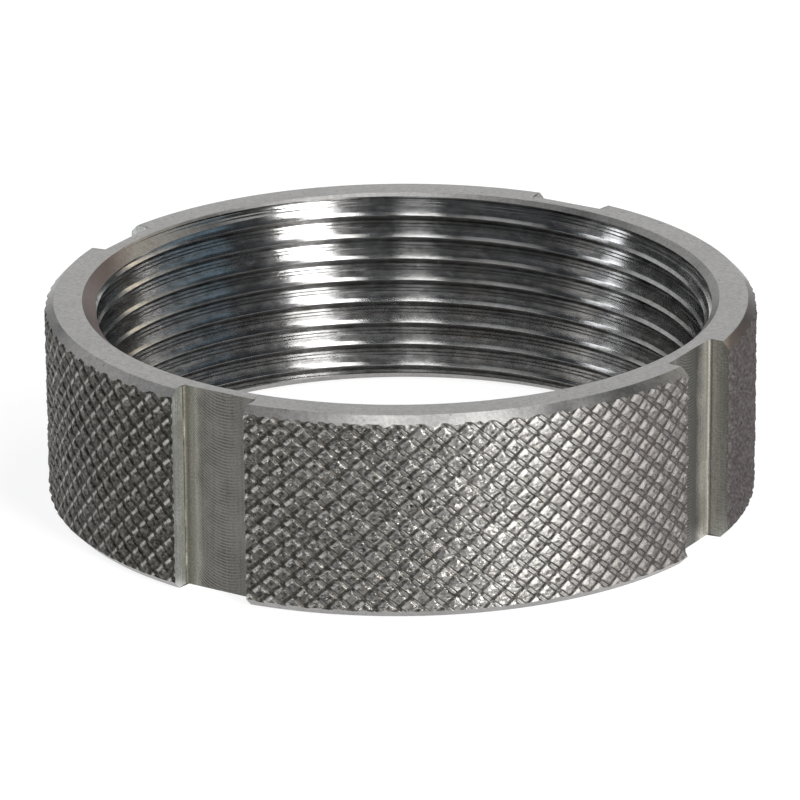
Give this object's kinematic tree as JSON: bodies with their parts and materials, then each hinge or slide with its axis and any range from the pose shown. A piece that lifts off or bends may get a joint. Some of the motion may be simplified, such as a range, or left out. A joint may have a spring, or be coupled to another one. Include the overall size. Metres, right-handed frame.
{
  "type": "ring nut",
  "caption": "Knurled steel ring nut with an internal fine thread, bevelled edges and straight slots in its rim for a hook spanner.",
  "frame": {"origin": "centre of the lower face, on the bore axis", "axes": "+Z along the bore axis, from the lower face to the upper face; +X and +Y each pass through the middle of a spanner slot"},
  "size_m": [0.0446, 0.0446, 0.013],
  "materials": {
    "steel": "satin turned faces, cut thread, milled slots and a coarse diamond knurl"
  },
  "bodies": {
    "root": {"ring_nut": "steel"}
  },
  "joints": []
}
